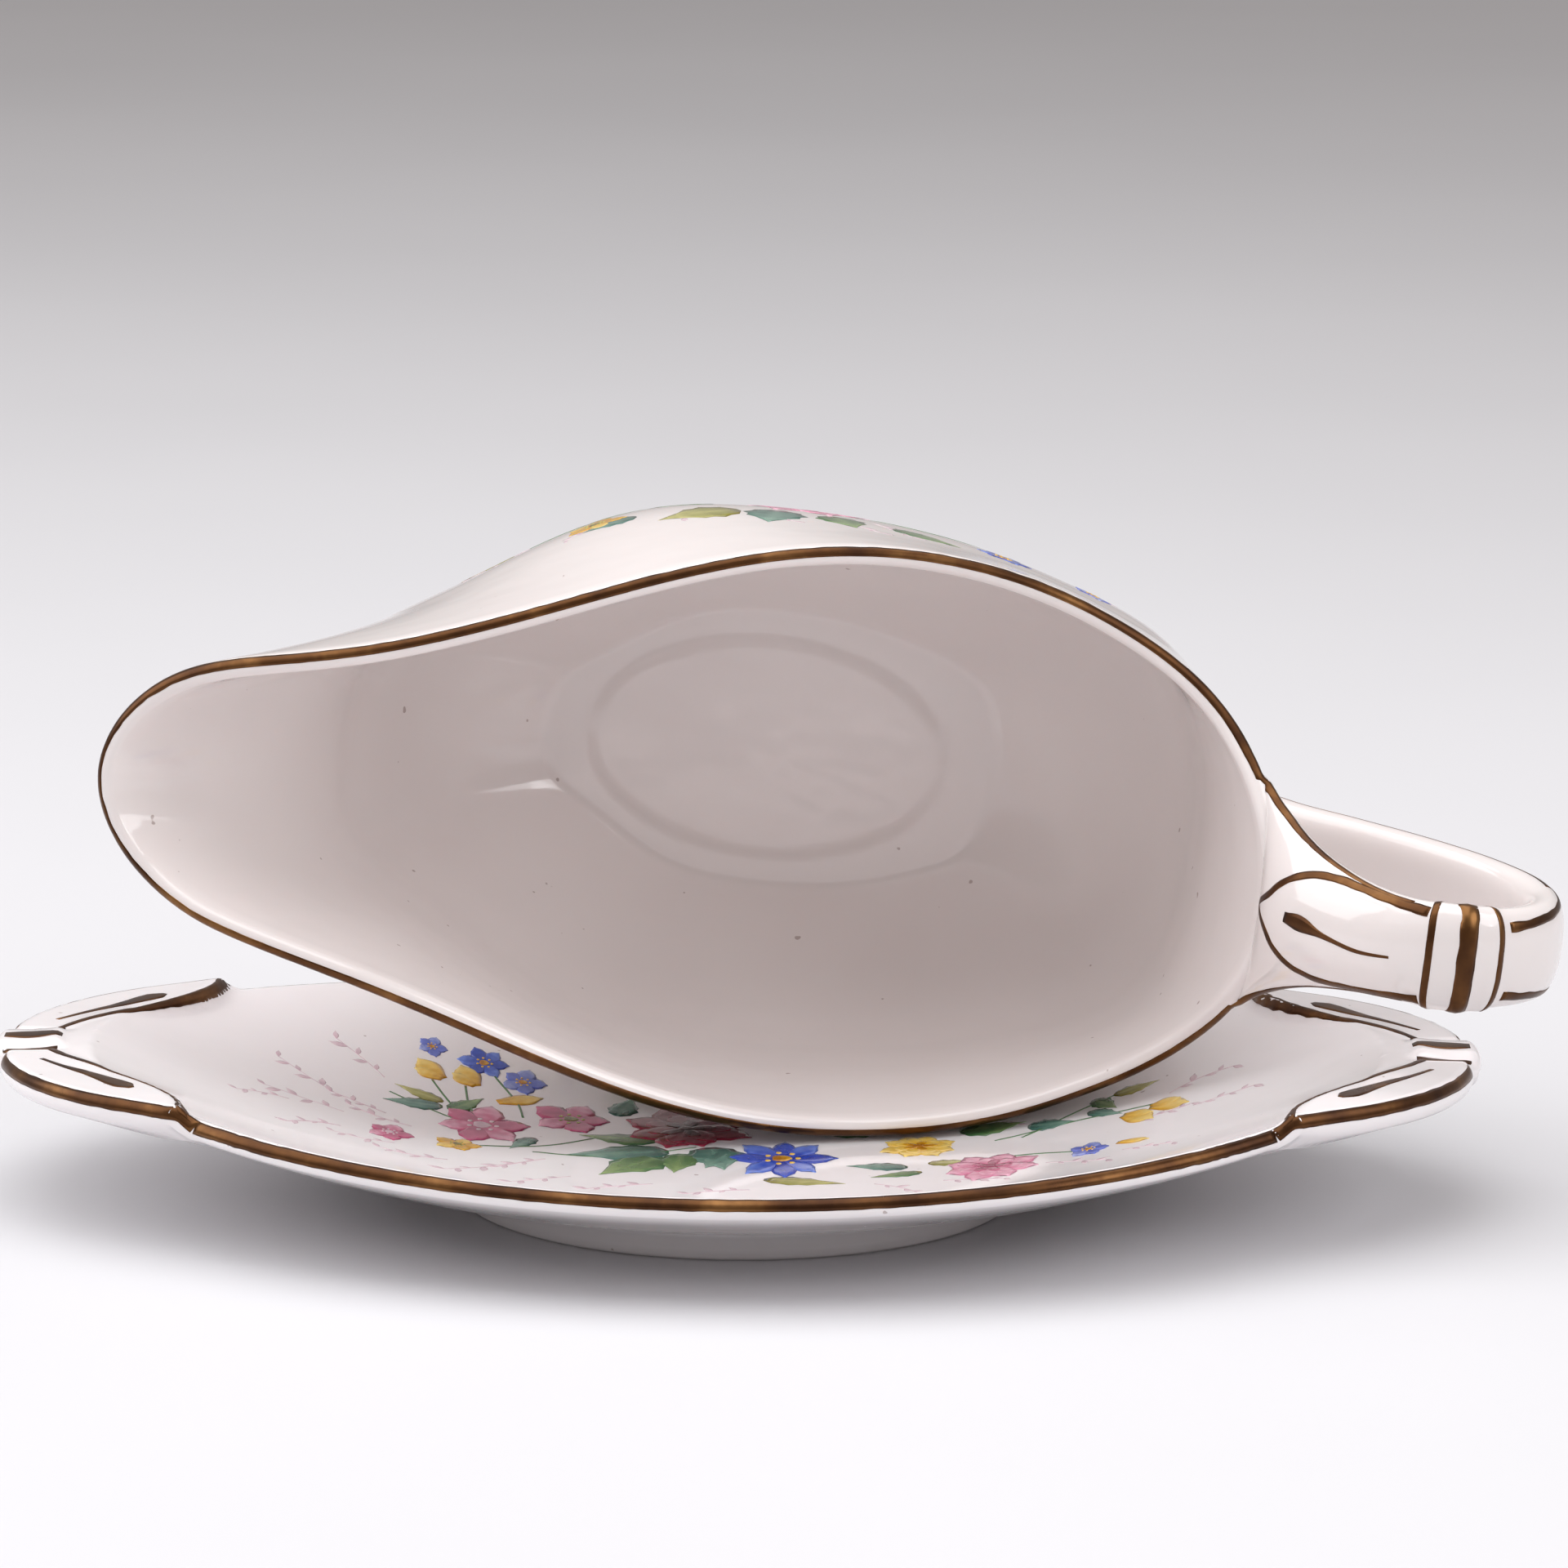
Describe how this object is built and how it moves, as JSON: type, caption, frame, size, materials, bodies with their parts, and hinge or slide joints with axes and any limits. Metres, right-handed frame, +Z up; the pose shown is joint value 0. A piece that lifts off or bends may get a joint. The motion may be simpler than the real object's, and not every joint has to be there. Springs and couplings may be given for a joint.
{
  "type": "gravy boat",
  "caption": "Sauce boat with a pouring spout, oval foot and high loop handle, lying on its side on an oval stand with lug handles.",
  "frame": {"origin": "centre of the stand's foot ring, on the surface the stand rests on", "axes": "+Z up; X along the stand from lug to lug, with the boat's handle towards +X and its spout towards -X; the boat's mouth faces -Y"},
  "size_m": [0.2282, 0.1504, 0.0955],
  "materials": {
    "glazed_china": "gloss glaze, white body",
    "gilding": "brush-painted brown gold, slightly worn",
    "transfer_print": "floral print under gloss glaze"
  },
  "bodies": {
    "stand": {"stand_dish": "glazed_china", "stand_foot_ring": "glazed_china", "stand_lug_left": "glazed_china", "stand_lug_right": "glazed_china"},
    "boat": {"boat_bowl": "glazed_china", "boat_foot": "glazed_china", "boat_handle": "glazed_china"}
  },
  "joints": [
    {"name": "boat_lift", "type": "slide", "parent": "stand", "child": "boat", "axis": [0, 0, 1], "range_m": [0, 0.12]}
  ]
}
